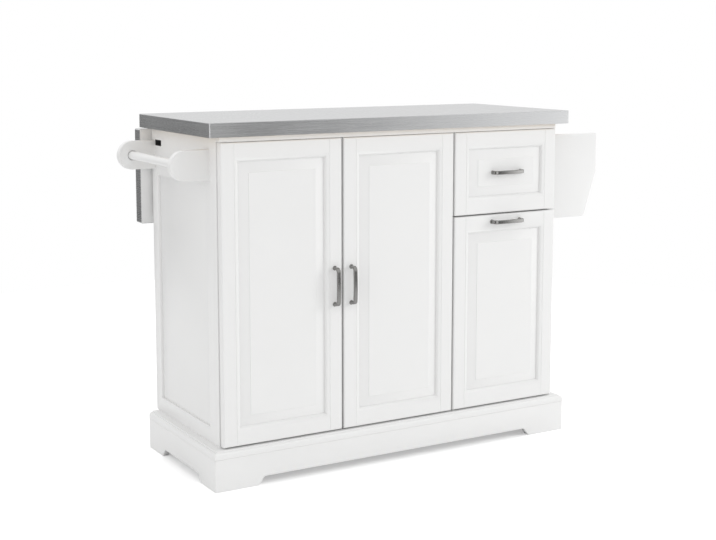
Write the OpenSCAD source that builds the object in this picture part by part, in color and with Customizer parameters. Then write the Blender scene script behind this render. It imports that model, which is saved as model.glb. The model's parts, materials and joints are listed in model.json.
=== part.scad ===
// Drop leaf kitchen island: a two-door cupboard beside a drawer and a pull-out bin,
// on a plinth with bracket feet, under a steel-wrapped worktop with a hanging rear leaf.
// Each piece is drawn with x = 0 at mid-width, y = 0 at the worktop's front edge and z = 0
// on the floor; placed() then moves it to the centre of the whole object's footprint.

/* [Worktop] */
// Length of the worktop along the front
top_w = 1092; // [1000:1:1300]
// Depth of the worktop, front to back
top_d = 457; // [420:1:600]
// Thickness of the worktop and of the drop leaf
top_t = 36; // [28:1:50]
// Height of the worktop's upper face above the floor
island_h = 914; // [860:1:960]
// Thickness of the steel wrapped round the worktop and the leaf
skin_t = 1; // [0.8:0.1:2]

/* [Drop leaf] */
// Length of the leaf from its hinged edge to its free edge
leaf_l = 256; // [200:1:300]
// How much shorter the leaf is than the worktop at each end
leaf_inset = 3; // [1:1:10]
// Gap between the worktop and the raised leaf
leaf_gap = 2; // [1:0.5:4]
// Radius of the leaf hinges' knuckles
knuckle_r = 4.5; // [3.5:0.5:6]
// Length of one leaf hinge
leaf_hinge_l = 70; // [40:1:90]
// Distance of the outer leaf hinges from mid-width
leaf_hinge_x = 390; // [360:1:440]
// Reach of a leaf hinge's moving plate from its pin
leaf_flap_l = 24; // [18:1:40]
// Thickness of the leaf hinges' plates
leaf_plate_t = 2; // [1.5:0.5:3]

/* [Leaf struts] */
// Distance of each strut from mid-width
strut_x = 290; // [200:1:320]
// Width of a strut
strut_w = 24; // [16:1:30]
// Thickness of a strut
strut_t = 11; // [8:1:11]
// Height of the leaf hinge above the struts' pivots
strut_drop = 125; // [100:1:150]
// Radius of a strut's pivot pin
strut_pin_r = 3; // [2:0.5:4]
// Thickness of the strut brackets' ears and plates
strut_plate_t = 2; // [1.5:0.5:2]
// Depth of the catch that each raised strut leans on
catch_d = 20; // [12:1:30]
// Thickness of the catch
catch_t = 1.5; // [1:0.5:1.5]

/* [Carcass] */
// Overhang of the worktop past each side of the carcass
top_overhang = 33; // [20:1:60]
// Set-back of the carcass's rear edge from the worktop's rear edge
carcass_back_inset = 7; // [4:1:20]
// Thickness of the side frames
side_t = 20; // [18:1:25]
// Recess of a side's flat panel behind its frame
side_recess = 6; // [3:1:8]
// Width of the side frames' front stiles
side_front_stile = 58; // [50:1:80]
// Width of the side frames' rear stiles
side_rear_stile = 38; // [30:1:60]
// Height of the side frames' top rails
side_top_rail = 126; // [120:1:150]
// Height of the side frames' bottom rails
side_bottom_rail = 39; // [30:1:70]
// Thickness of the upright divider
divider_t = 18; // [15:1:22]
// Thickness of the back panel
back_t = 6; // [4:1:9]
// Depth of the recess behind the back panel
back_recess = 14; // [14:1:24]
// Set-back of the strip over the doors behind their faces
strip_setback = 3; // [1:0.5:8]
// Gap between the strip and the doors below it
strip_gap = 1; // [1:0.5:3]
// Height of the rails under the worktop
rail_h = 32; // [24:1:40]
// Thickness of the rails, front to back
rail_t = 18; // [15:1:22]
// Height of the rail between the drawer and the bin
mid_rail_h = 26; // [20:1:34]
// Width of the cable slot in the left side
slot_w = 42; // [20:1:60]
// Height of the cable slot in the left side
slot_h = 16; // [8:1:24]
// Height of the slot's middle below the worktop
slot_drop = 40; // [36:1:46]

/* [Shelf] */
// Thickness of the shelf
shelf_t = 16; // [12:1:22]
// Height of the shelf's upper face above the cupboard floor
shelf_rise = 389; // [200:1:500]
// Gap between the shelf and each wall
shelf_gap = 0.5; // [0.3:0.1:2]
// Set-back of the shelf from the carcass front
shelf_setback = 24; // [15:1:60]
// Radius of a shelf pin
shelf_pin_r = 2.5; // [2:0.5:4]
// Depth of a shelf pin in its wall
shelf_pin_depth = 9; // [6:1:12]

/* [Plinth] */
// How far the plinth stands out past each side of the carcass
base_out = 29; // [20:1:33]
// Set-back of the plinth's rear face from the carcass's rear edge
base_back_inset = 14; // [0:1:30]
// Height of the plinth including its moulded cap
base_h = 102; // [85:1:120]
// Thickness of the cap, which is also the cupboard's floor
cap_t = 20; // [12:1:24]
// Thickness of the plinth boards
plinth_t = 18; // [15:1:22]
// Height of the arches between the feet
arch_h = 22; // [12:1:35]
// Width of a foot along the front and back
foot_w = 118; // [80:1:160]
// Width of a foot along the sides
foot_side_w = 92; // [60:1:120]
// Run of a foot's slanted inner end
foot_slant = 18; // [8:1:30]
// Radius of the cap's rounded edge
cap_r = 10; // [6:0.5:11]
// Step at the foot of the cap's rounded edge
cap_step = 1.5; // [1:0.5:3]
// Width of the blocks inside the plinth's corners
block_w = 40; // [30:1:60]
// Radius of a floor glide
glide_r = 14; // [8:1:15]
// Height of a floor glide
glide_h = 5; // [3:1:10]

/* [Doors and fronts] */
// Set-back of the fronts from the worktop's front edge
front_setback = 14; // [8:1:30]
// Thickness of the doors and drawer fronts
front_t = 20; // [18:1:24]
// Gap between the closed fronts and the carcass
front_gap = 2.5; // [2.5:0.1:4]
// Inset of the outer fronts from the carcass sides
front_inset = 2; // [0:1:12]
// Gap between neighbouring fronts, side by side
column_gap = 6; // [4:0.5:20]
// Gap between the drawer front and the bin front
row_gap = 4; // [3:1:14]
// Gap between the worktop and the fronts
top_gap = 14; // [5:1:20]
// Gap between the plinth cap and the fronts
bottom_gap = 3.5; // [3:0.5:12]
// Height of the drawer front
drawer_front_h = 224; // [190:1:240]
// Width of the frames' stiles and rails
frame_w = 48; // [46:1:60]
// Width of the moulding on the frames' inner edges
mould_w = 11; // [5:1:12]
// Depth of the moulding
mould_d = 8; // [4:1:8]
// Width of the raised panels' bevels
bevel_w = 28; // [15:1:36]
// Depth of the raised field behind the frame's face
field_d = 3; // [1:0.5:5]
// Depth of a panel's edge behind the frame's face
panel_d = 9; // [8:0.5:10]
// Thickness of a panel's tongue
tongue_t = 6; // [4:1:7]
// Depth of a panel's tongue in the frame
tongue_d = 5; // [4:1:7]

/* [Door hinges] */
// Distance of the hinges from the door's top and bottom
hinge_from_end = 100; // [70:1:140]
// Radius of a hinge cup
cup_r = 17.5; // [13:0.5:17.5]
// Radius of the hollow in a hinge cup
cup_hollow_r = 8; // [7:0.5:9]
// Depth of a hinge cup
cup_depth = 11.5; // [9:0.5:12]
// Distance of a hinge cup's centre from the door's edge
cup_from_edge = 25; // [23:0.5:28]
// Width of a hinge cup's flange
flange_w = 28; // [24:1:30]
// Height of a hinge cup's flange
flange_h = 52; // [44:1:64]
// Thickness of a hinge cup's flange
flange_t = 1.5; // [1:0.1:1.7]
// Width of a hinge arm
hinge_arm_w = 14; // [10:1:14]
// Height of a hinge arm
hinge_arm_h = 20; // [18:1:24]
// Thickness of a hinge's mounting plate
hinge_plate_t = 3; // [2:0.5:4]
// Depth of a hinge's mounting plate, front to back
hinge_plate_d = 36; // [30:1:50]
// Height of a hinge's mounting plate
hinge_plate_h = 44; // [30:1:60]
// Distance of a hinge's mounting plate behind the carcass front
hinge_plate_setback = 16; // [14:1:37]

/* [Handles] */
// Length of a handle over its ends
handle_l = 104; // [80:1:140]
// Distance that a handle stands out from its front
handle_out = 25; // [20:1:32]
// Width of a handle's bar
handle_w = 10; // [7:1:12]
// Thickness of a handle's bar
handle_t = 6; // [4:0.5:8]
// Rise of a handle's bow from its ends to its middle
handle_bow = 5; // [2:0.5:8]
// Distance of an upright handle from its door's edge
handle_from_edge = 21.5; // [16:0.5:30]
// Distance of the bin handle from the bin front's top
bin_handle_drop = 19; // [14:1:30]

/* [Drawer and bin] */
// Side room for one pair of slide members
slide_room = 12.7; // [12:0.1:14]
// Height of a cabinet-side runner
runner_h = 40; // [30:1:45]
// Room behind a runner
runner_room = 25.5; // [10:0.5:80]
// Thickness of a runner's sheet steel
runner_t = 1.2; // [1:0.1:2]
// Gap between a runner and the member that slides in it
slide_gap = 0.3; // [0.2:0.1:0.5]
// Width of a runner across the side room
runner_w = 9; // [8:0.5:11]
// Thickness of the drawer's and tray's boards
box_t = 12; // [9:1:15]
// Room behind the drawer box and the bin tray
box_room = 34; // [20:1:100]
// Height of the drawer box above the rail below it
drawer_box_rise = 8; // [5:1:12]
// Height of a runner above the underside of the drawer box
drawer_runner_rise = 18; // [14:1:40]
// Height of the bin tray above the cupboard floor
tray_rise = 20; // [10:1:40]
// Height of a runner above the underside of the bin tray
tray_runner_rise = 30; // [14:1:40]
// Height of the drawer box
drawer_box_h = 158; // [120:1:160]
// Thickness of the drawer's bottom
bottom_t = 5; // [3:1:8]
// Height of the bin tray's side boards
tray_h = 92; // [80:1:140]

/* [Towel rail] */
// Distance that the towel rail's brackets stand out from the side
bracket_out = 102; // [80:1:120]
// Radius of a bracket's round end, half its height
bracket_r = 38; // [25:1:38]
// Thickness of a bracket
bracket_t = 18; // [14:1:22]
// Height of the brackets' middle below the worktop's upper face
bracket_drop = 108; // [100:1:115]
// Set-back of the front bracket from the carcass front
bracket_front_setback = 40; // [10:1:80]
// Set-back of the rear bracket from the carcass's rear edge
bracket_rear_setback = 4; // [0:1:40]
// Radius of the towel bar
bar_r = 11; // [8:0.5:14]
// Depth of the towel bar's seat in each bracket
bar_seat = 8; // [5:1:12]

/* [Spice rack] */
// Distance that the spice rack stands out from the side
rack_out = 164; // [120:1:180]
// Distance that the rack's foot stands out from the side
rack_foot_out = 122; // [90:1:140]
// Height of the rack's ends
rack_h = 237; // [200:1:280]
// Height of the ends' upright outer edge
rack_upright_h = 110; // [80:1:130]
// Distance of the rack's top below the worktop's underside
rack_drop = 33; // [10:1:60]
// Thickness of the rack's ends
rack_end_t = 15; // [12:1:20]
// Thickness of the rack's shelves
rack_shelf_t = 12; // [9:1:15]
// Height of the rack's rails
rack_rail_h = 26; // [15:1:35]
// Thickness of the rack's rails
rack_rail_t = 10; // [6:1:12]
// Height of each rail above its shelf
rack_rail_rise = 28; // [15:1:40]

/* [Hidden] */
$fn = 64;

paint = [0.94, 0.94, 0.93];
steel = [0.72, 0.73, 0.74];
nickel = [0.62, 0.60, 0.57];
zinc = [0.70, 0.71, 0.73];
birch = [0.87, 0.78, 0.62];
rubber = [0.12, 0.12, 0.12];
eps = 0.01;                 // overlap that keeps a cut from leaving a skin
seat_gap = 0.3;             // clearance between pieces of two bodies that meet
fit = 0.05;                 // radial clearance of a pin in its hole

// Levels and planes of the carcass
under = island_h - top_t;                       // worktop's underside
carcass_w = top_w - 2 * top_overhang;
carcass_x = carcass_w / 2;                      // outer face of the right side
inner_x = carcass_x - side_t;                   // inner face of the right side
front_y = front_setback;                        // outer face of the fronts
front_back_y = front_y + front_t;               // back face of the fronts
carcass_y = front_back_y + front_gap;           // front edge of the carcass
carcass_back = top_d - carcass_back_inset;      // rear edge of the sides
back_face = carcass_back - back_recess;         // rear face of the back panel
back_front = back_face - back_t;                // front face of the back panel
rail_z = under - rail_h;                        // underside of the top rails

// Columns and rows of the fronts
zone_w = carcass_w - 2 * front_inset;
column_w = (zone_w - 2 * column_gap) / 3;
left_x = -zone_w / 2;
middle_x = left_x + column_w + column_gap;
right_x = middle_x + column_w + column_gap;
door_z = base_h + bottom_gap;
door_top = under - top_gap;
door_h = door_top - door_z;
drawer_z = door_top - drawer_front_h;
bin_h = drawer_z - row_gap - door_z;
divider_x = right_x - column_gap / 2 - divider_t / 2;
mid_rail_z = drawer_z - row_gap / 2 - mid_rail_h / 2;
shelf_z = base_h + shelf_rise - shelf_t;
hinge_zs = [door_z + hinge_from_end, door_top - hinge_from_end];

// Drawer and tray, which share the bay between the divider and the right side
bay_x = divider_x + divider_t;
bay_w = inner_x - bay_x;
box_x = bay_x + slide_room;
box_w = bay_w - 2 * slide_room;
drawer_box_z = mid_rail_z + mid_rail_h + drawer_box_rise;
drawer_runner_z = drawer_box_z + drawer_runner_rise;
tray_z = base_h + tray_rise;
tray_runner_z = tray_z + tray_runner_rise;
runner_y = carcass_y + rail_t;
runner_l = back_front - runner_room - runner_y;
box_d = back_front - box_room - front_back_y;

// Leaf hinge and struts
leaf_w = top_w - 2 * leaf_inset;
hinge_y = top_d + leaf_gap / 2;
hinge_z = under - knuckle_r;
leaf_y = hinge_y + knuckle_r;                   // underside of the hanging leaf
leaf_top = hinge_z - leaf_gap / 2;              // hinged edge of the hanging leaf
pivot_y = back_face + strut_plate_t + 0.5 + strut_t / 2;
pivot_z = hinge_z - strut_drop;
strut_rise = strut_drop + knuckle_r - strut_t / 2 - seat_gap;
strut_l = strut_rise / cos(45);                 // pivot to the middle of the round tip
catch_from_hinge = pivot_y + strut_rise - hinge_y + strut_t / 2 - 0.7;

// Plinth
base_w = carcass_w + 2 * base_out;
base_x = base_w / 2;
base_back = carcass_back - base_back_inset;
plinth_h = base_h - cap_t;

// Towel rail and rack
bracket_z = island_h - bracket_drop;
bracket_front_y = carcass_y + bracket_front_setback;
bracket_rear_y = carcass_back - bracket_rear_setback - bracket_t;
slot_z = under - slot_drop;
rack_top = under - rack_drop;
rack_z = rack_top - rack_h;
rack_back = carcass_back - bracket_rear_setback;
rack_upper_z = rack_top - rack_upright_h;
rack_lean = (rack_out - rack_foot_out) / (rack_h - rack_upright_h);

// Footprint of the whole object, whose middle is the origin
low_x = -carcass_x - bracket_out;
high_x = carcass_x + rack_out;
low_y = min(0, front_y - handle_out);
high_y = leaf_y + top_t;

module placed() {
    translate([-(low_x + high_x) / 2, -(low_y + high_y) / 2, 0]) children();
}

// A block given by its low corner and its sizes
module block(x, y, z, w, d, h) {
    translate([x, y, z]) cube([w, d, h]);
}

// A rod along y
module rod_y(x, y, z, r, l) {
    translate([x, y, z]) rotate([-90, 0, 0]) cylinder(r = r, h = l);
}

// A rod along x
module rod_x(x, y, z, r, l) {
    translate([x, y, z]) rotate([0, 90, 0]) cylinder(r = r, h = l);
}

// ---- worktop and leaf -------------------------------------------------------------

module worktop_core() {
    color(birch) placed()
        block(-top_w / 2 + skin_t, skin_t, under, top_w - 2 * skin_t, top_d - 2 * skin_t,
              top_t - skin_t);
}

// The wrap covers the top and all four edges and is open below.
module worktop_skin() {
    color(steel) placed() difference() {
        block(-top_w / 2, 0, under, top_w, top_d, top_t);
        block(-top_w / 2 + skin_t, skin_t, under - 1, top_w - 2 * skin_t,
              top_d - 2 * skin_t, top_t - skin_t + 1);
    }
}

module leaf_core() {
    color(paint) placed()
        block(-leaf_w / 2 + skin_t, leaf_y, leaf_top - leaf_l + skin_t, leaf_w - 2 * skin_t,
              top_t - skin_t, leaf_l - 2 * skin_t);
}

module leaf_skin() {
    color(steel) placed() difference() {
        block(-leaf_w / 2, leaf_y, leaf_top - leaf_l, leaf_w, top_t, leaf_l);
        block(-leaf_w / 2 + skin_t, leaf_y - 1, leaf_top - leaf_l + skin_t,
              leaf_w - 2 * skin_t, top_t - skin_t + 1, leaf_l - 2 * skin_t);
    }
}

// The fixed half has the two outer knuckles and the pin.
knuckle_l = leaf_hinge_l / 3;
module leaf_hinge_plates() {
    color(zinc) placed() for (x = [-leaf_hinge_x, 0, leaf_hinge_x]) {
        difference() {
            union() {
                block(x - leaf_hinge_l / 2, back_face + 1, under - leaf_plate_t,
                      leaf_hinge_l, hinge_y - back_face - 1, leaf_plate_t);
                rod_x(x - leaf_hinge_l / 2, hinge_y, hinge_z, knuckle_r, leaf_hinge_l);
            }
            block(x - knuckle_l / 2 - seat_gap, hinge_y - knuckle_r - seat_gap,
                  hinge_z - knuckle_r - 1, knuckle_l + 2 * seat_gap,
                  2 * knuckle_r + 1, 2 * knuckle_r + 2);
        }
        rod_x(x - leaf_hinge_l / 2, hinge_y, hinge_z, knuckle_r / 2, leaf_hinge_l);
    }
}

// The moving half has the middle knuckle.
module leaf_hinge_flaps() {
    color(zinc) placed() for (x = [-leaf_hinge_x, 0, leaf_hinge_x]) difference() {
        union() {
            block(x - leaf_hinge_l / 2, leaf_y - leaf_plate_t, hinge_z - leaf_flap_l,
                  leaf_hinge_l, leaf_plate_t, leaf_flap_l - knuckle_r - seat_gap);
            block(x - knuckle_l / 2, leaf_y - leaf_plate_t, hinge_z - knuckle_r - 1,
                  knuckle_l, leaf_plate_t, knuckle_r + 1);
            rod_x(x - knuckle_l / 2, hinge_y, hinge_z, knuckle_r, knuckle_l);
        }
        rod_x(x - leaf_hinge_l / 2 - 1, hinge_y, hinge_z, knuckle_r / 2 + fit,
              leaf_hinge_l + 2);
    }
}

// A low bar under the leaf, which the tip of a raised strut leans on
module strut_catches() {
    color(zinc) placed() for (side = [-1, 1])
        block(side * strut_x - strut_w / 2, leaf_y - catch_t,
              hinge_z - catch_from_hinge - catch_d, strut_w, catch_t, catch_d);
}

// ---- struts -----------------------------------------------------------------------

// A strut hangs from its pivot; its section has round ends.
module strut(x) {
    color(paint) placed() difference() {
        union() {
            block(x - strut_w / 2, pivot_y - strut_t / 2, pivot_z - strut_l,
                  strut_w, strut_t, strut_l);
            rod_x(x - strut_w / 2, pivot_y, pivot_z, strut_t / 2, strut_w);
            rod_x(x - strut_w / 2, pivot_y, pivot_z - strut_l, strut_t / 2, strut_w);
        }
        rod_x(x - strut_w, pivot_y, pivot_z, strut_pin_r + fit, 2 * strut_w);
    }
}
module left_strut() { strut(-strut_x); }
module right_strut() { strut(strut_x); }

// Two ears and a pin on a plate, screwed to the back panel
module strut_brackets() {
    ear_h = 2 * strut_t;
    out = strut_w / 2 + 0.5;
    color(zinc) placed() for (side = [-1, 1]) translate([side * strut_x, 0, 0]) {
        block(-out - strut_plate_t, back_face, pivot_z - ear_h,
              2 * (out + strut_plate_t), strut_plate_t, 2 * ear_h);
        for (ear = [-out - strut_plate_t, out])
            block(ear, back_face, pivot_z - ear_h / 2, strut_plate_t,
                  pivot_y - back_face + strut_t / 2, ear_h);
        rod_x(-out - strut_plate_t, pivot_y, pivot_z, strut_pin_r,
              2 * (out + strut_plate_t));
    }
}

// ---- carcass ----------------------------------------------------------------------

panel_y = carcass_y + side_front_stile;
panel_d_y = carcass_back - side_rear_stile - panel_y;
panel_z = base_h + side_bottom_rail;
panel_h = under - side_top_rail - panel_z;
pin_ys = [carcass_y + side_front_stile / 2 + 6, back_front - 8];

module pin_holes(wall_x, direction) {
    for (y = pin_ys)
        rod_x(direction > 0 ? wall_x - 1 : wall_x - shelf_pin_depth, y,
              shelf_z - shelf_pin_r, shelf_pin_r + fit, shelf_pin_depth + 1);
}

// Stiles and rails round a flat panel; side is -1 at the left and 1 at the right.
module side_frame(side) {
    difference() {
        block(side > 0 ? inner_x : -carcass_x, carcass_y, base_h, side_t,
              carcass_back - carcass_y, under - base_h);
        block(side > 0 ? inner_x - 1 : -carcass_x - 1, panel_y, panel_z, side_t + 2,
              panel_d_y, panel_h);
    }
}

module left_side_frame() {
    color(paint) placed() difference() {
        side_frame(-1);
        block(-carcass_x - 1, bracket_rear_y - slot_w, slot_z - slot_h / 2, side_t + 2,
              slot_w, slot_h);
        pin_holes(-inner_x, -1);
    }
}
module right_side_frame() { color(paint) placed() side_frame(1); }

module side_panel(x) {
    block(x, panel_y, panel_z, side_t - side_recess, panel_d_y, panel_h);
}
module left_side_panel() { color(paint) placed() side_panel(-carcass_x + side_recess); }
module right_side_panel() { color(paint) placed() side_panel(inner_x); }

module divider() {
    color(paint) placed() difference() {
        block(divider_x, carcass_y, base_h, divider_t, back_front - carcass_y,
              rail_z - base_h);
        pin_holes(divider_x, 1);
    }
}

module back_panel() {
    color(paint) placed()
        block(-inner_x, back_front, base_h, 2 * inner_x, back_t, under - base_h);
}

// The rail carries a strip that closes the space between the worktop and the doors.
module top_front_rail() {
    strip_y = front_y + strip_setback;
    color(paint) placed() {
        block(-inner_x, carcass_y, rail_z, 2 * inner_x, rail_t, rail_h);
        block(-carcass_x, strip_y, door_top + strip_gap, carcass_w, carcass_y - strip_y,
              top_gap - strip_gap);
    }
}
module top_rear_rail() {
    color(paint) placed()
        block(-inner_x, back_front - rail_t, rail_z, 2 * inner_x, rail_t, rail_h);
}
module mid_rail() {
    color(paint) placed() block(bay_x, carcass_y, mid_rail_z, bay_w, rail_t, mid_rail_h);
}

module shelf() {
    shelf_y = carcass_y + shelf_setback;
    color(paint) placed()
        block(-inner_x + shelf_gap, shelf_y, shelf_z, divider_x + inner_x - 2 * shelf_gap,
              back_front - shelf_gap - shelf_y, shelf_t);
}

module shelf_pins() {
    pin_l = 2 * shelf_pin_depth;
    color(zinc) placed() for (y = pin_ys, x = [-inner_x, divider_x])
        rod_x(x - shelf_pin_depth + (x < 0 ? fit : -fit), y, shelf_z - shelf_pin_r,
              shelf_pin_r, pin_l);
}

// ---- plinth -----------------------------------------------------------------------

// What is cut from under a plinth board of length l to leave its two feet
module arch(l, foot) {
    polygon([[foot, -1], [l - foot, -1], [l - foot, 0], [l - foot - foot_slant, arch_h],
             [foot + foot_slant, arch_h], [foot, 0]]);
}

// What is cut from the cap's edge: a step, then a quarter round
module cap_cut(l) {
    rotate([90, 0, 90]) linear_extrude(l) difference() {
        translate([-1, -cap_r]) square([cap_r + cap_step + 1, cap_r + 1]);
        translate([cap_r + cap_step, -cap_r]) circle(cap_r);
    }
}

module plinth_board_x(y, tilt) {
    difference() {
        linear_extrude(plinth_h) polygon(
            tilt > 0 ? [[-base_x, y], [base_x, y], [base_x - plinth_t, y + plinth_t],
                        [-base_x + plinth_t, y + plinth_t]]
                     : [[-base_x + plinth_t, y], [base_x - plinth_t, y],
                        [base_x - plinth_t, y + plinth_t],
                        [-base_x + plinth_t, y + plinth_t]]);
        translate([-base_x, y + plinth_t + 1, 0]) rotate([90, 0, 0])
            linear_extrude(plinth_t + 2) arch(base_w, foot_w);
    }
}
module plinth_front() { color(paint) placed() plinth_board_x(0, 1); }
module plinth_back() { color(paint) placed() plinth_board_x(base_back - plinth_t, 0); }

// A side board, mitred to the front board
module plinth_side() {
    difference() {
        linear_extrude(plinth_h) polygon([[-base_x, 0], [-base_x + plinth_t, plinth_t],
                                          [-base_x + plinth_t, base_back],
                                          [-base_x, base_back]]);
        translate([-base_x - 1, 0, 0]) rotate([90, 0, 90])
            linear_extrude(plinth_t + 2) arch(base_back, foot_side_w);
    }
}
module plinth_left() { color(paint) placed() plinth_side(); }
module plinth_right() { color(paint) placed() mirror([1, 0, 0]) plinth_side(); }

// The cap overhangs the carcass with a moulded edge and carries its sides.
module floor_panel() {
    color(paint) placed() difference() {
        block(-base_x, 0, plinth_h, base_w, base_back, cap_t);
        translate([-base_x - 1, 0, base_h]) cap_cut(base_w + 2);
        for (side = [0, 1]) mirror([side, 0, 0])
            translate([-base_x, base_back + 1, base_h]) rotate([0, 0, -90])
                cap_cut(base_back + 2);
    }
}

module at_corners() {
    for (x = [-base_x + plinth_t, base_x - plinth_t - block_w],
         y = [plinth_t, base_back - plinth_t - block_w])
        translate([x, y, 0]) children();
}
module corner_blocks() {
    color(birch) placed() at_corners()
        translate([0, 0, glide_h]) cube([block_w, block_w, plinth_h - glide_h]);
}
module glides() {
    color(rubber) placed() at_corners()
        translate([block_w / 2, block_w / 2, 0]) cylinder(r = glide_r, h = glide_h);
}

// ---- fronts -----------------------------------------------------------------------

// A tapered block: w by h at its front, drawn in by inset at its back, depth deep along y
module taper(w, h, inset, depth) {
    polyhedron(
        points = [for (end = [0, 1], corner = [[0, 0], [1, 0], [1, 1], [0, 1]])
            [corner[0] * w + end * inset * (1 - 2 * corner[0]), end * depth,
             corner[1] * h + end * inset * (1 - 2 * corner[1])]],
        faces = [[3, 2, 1, 0], [4, 5, 6, 7], [0, 1, 5, 4], [1, 2, 6, 5], [2, 3, 7, 6],
                 [3, 0, 4, 7]]);
}

// A frame with a moulded inner edge and a groove for its panel
module front_frame(w, h) {
    flat = frame_w - mould_w;
    groove = frame_w - tongue_d;
    difference() {
        cube([w, front_t, h]);
        block(frame_w, -1, frame_w, w - 2 * frame_w, front_t + 2, h - 2 * frame_w);
        translate([flat, -eps, flat])
            taper(w - 2 * flat, h - 2 * flat, mould_w, mould_d);
        block(groove, panel_d, groove, w - 2 * groove, tongue_t, h - 2 * groove);
    }
}

// A panel with a tongue all round and a raised, bevelled field
module front_panel(w, h) {
    groove = frame_w - tongue_d;
    field = frame_w + bevel_w;
    block(groove, panel_d, groove, w - 2 * groove, tongue_t, h - 2 * groove);
    translate([field, field_d, field])
        taper(w - 2 * field, h - 2 * field, -bevel_w, panel_d - field_d + eps);
}

// A bowed bar on two posts, lying along x, with its feet on the plane y = 0
module handle() {
    half = handle_l / 2;
    bow_r = (half * half + handle_bow * handle_bow) / (2 * handle_bow);
    post_r = handle_w / 2 - 0.5;
    translate([0, 0, -handle_w / 2]) linear_extrude(handle_w) intersection() {
        translate([0, -handle_out + bow_r]) difference() {
            circle(bow_r, $fn = 256);
            circle(bow_r - handle_t, $fn = 256);
        }
        translate([-half, -handle_out - 1]) square([handle_l, handle_t + handle_bow + 1]);
    }
    for (x = [-half + handle_w / 2, half - handle_w / 2])
        rod_y(x, -handle_out + handle_bow + handle_t / 2 - 1, 0, post_r,
              handle_out - handle_bow - handle_t / 2 + 1);
}

// Holes for a door's hinge cups; hinged is 0 at the left edge and 1 at the right edge.
function cup_x(hinged) = hinged * column_w + (1 - 2 * hinged) * cup_from_edge;
module cup_holes(hinged) {
    for (z = hinge_zs)
        rod_y(cup_x(hinged), front_t - cup_depth - fit, z - door_z, cup_r + 2 * fit,
              cup_depth + 1);
}
module door_frame(x, hinged) {
    color(paint) placed() translate([x, front_y, door_z]) difference() {
        front_frame(column_w, door_h);
        cup_holes(hinged);
    }
}
module door_panel(x) {
    color(paint) placed() translate([x, front_y, door_z]) front_panel(column_w, door_h);
}
module upright_handle(x) {
    color(nickel) placed() translate([x, front_y, door_z + door_h / 2])
        rotate([0, 90, 0]) handle();
}

// Steel cups with their flanges lying on the door's back
module cups(x, hinged) {
    color(zinc) placed() for (z = hinge_zs) translate([x + cup_x(hinged), 0, z])
        difference() {
            union() {
                rod_y(0, front_back_y - cup_depth, 0, cup_r, cup_depth);
                block(-flange_w / 2, front_back_y, -flange_h / 2, flange_w, flange_t, flange_h);
            }
            rod_y(0, front_back_y - cup_depth + 1, 0, cup_hollow_r, cup_depth + 5);
        }
}

module left_door_frame() { door_frame(left_x, 0); }
module left_door_panel() { door_panel(left_x); }
module left_door_handle() { upright_handle(left_x + column_w - handle_from_edge); }
module left_door_cups() { cups(left_x, 0); }
module right_door_frame() { door_frame(middle_x, 1); }
module right_door_panel() { door_panel(middle_x); }
module right_door_handle() { upright_handle(middle_x + handle_from_edge); }
module right_door_cups() { cups(middle_x, 1); }

// Mounting plates on the walls, each with a foot and an arm that reaches forward to the
// middle of a closed door's cup
module hinge_arm(wall_x, direction, arm_x) {
    plate_y = carcass_y + hinge_plate_setback;
    arm_y = front_back_y + flange_t + seat_gap;
    arm_back = plate_y + hinge_plate_d - 2;
    for (z = hinge_zs) {
        block(direction > 0 ? wall_x : wall_x - hinge_plate_t, plate_y,
              z - hinge_plate_h / 2, hinge_plate_t, hinge_plate_d, hinge_plate_h);
        block(min(wall_x, arm_x), plate_y + 8, z - hinge_arm_h / 2, abs(wall_x - arm_x),
              arm_back - plate_y - 8, hinge_arm_h);
        block(arm_x - hinge_arm_w / 2, arm_y, z - hinge_arm_h / 2, hinge_arm_w,
              arm_back - arm_y, hinge_arm_h);
    }
}
module hinge_arms() {
    color(zinc) placed() {
        hinge_arm(-inner_x, 1, left_x + cup_x(0));
        hinge_arm(divider_x, -1, middle_x + cup_x(1));
    }
}

// ---- drawer -----------------------------------------------------------------------

module drawer_front_frame() {
    color(paint) placed() translate([right_x, front_y, drawer_z])
        front_frame(column_w, drawer_front_h);
}
module drawer_front_panel() {
    color(paint) placed() translate([right_x, front_y, drawer_z])
        front_panel(column_w, drawer_front_h);
}
module drawer_handle() {
    color(nickel) placed()
        translate([right_x + column_w / 2, front_y + field_d, drawer_z + drawer_front_h / 2])
            handle();
}
module drawer_sides() {
    color(birch) placed() for (x = [box_x, box_x + box_w - box_t])
        block(x, front_back_y, drawer_box_z, box_t, box_d, drawer_box_h);
}
module drawer_ends() {
    color(birch) placed() for (y = [front_back_y, front_back_y + box_d - box_t])
        block(box_x + box_t, y, drawer_box_z, box_w - 2 * box_t, box_t, drawer_box_h);
}
module drawer_bottom() {
    color(birch) placed()
        block(box_x + box_t, front_back_y + box_t, drawer_box_z + box_t,
              box_w - 2 * box_t, box_d - 2 * box_t, bottom_t);
}

// A channel on each wall of the bay, open towards the drawer
module runners(z) {
    for (side = [0, 1]) translate([side * (2 * bay_x + bay_w), 0, 0]) mirror([side, 0, 0])
        difference() {
            block(bay_x, runner_y, z, runner_w, runner_l, runner_h);
            block(bay_x + runner_t, runner_y - 1, z + runner_t, runner_w, runner_l + 2,
                  runner_h - 2 * runner_t);
        }
}
module drawer_runners() { color(zinc) placed() runners(drawer_runner_z); }
module bin_runners() { color(zinc) placed() runners(tray_runner_z); }

// The member on the box slides inside the channel.
module slides(z) {
    clear = runner_t + slide_gap;
    for (side = [0, 1]) translate([side * (2 * bay_x + bay_w), 0, 0]) mirror([side, 0, 0])
        block(bay_x + clear, runner_y, z + clear, slide_room - clear, runner_l,
              runner_h - 2 * clear);
}
module drawer_slides() { color(zinc) placed() slides(drawer_runner_z); }
module bin_slides() { color(zinc) placed() slides(tray_runner_z); }

// ---- pull-out bin -----------------------------------------------------------------

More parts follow.
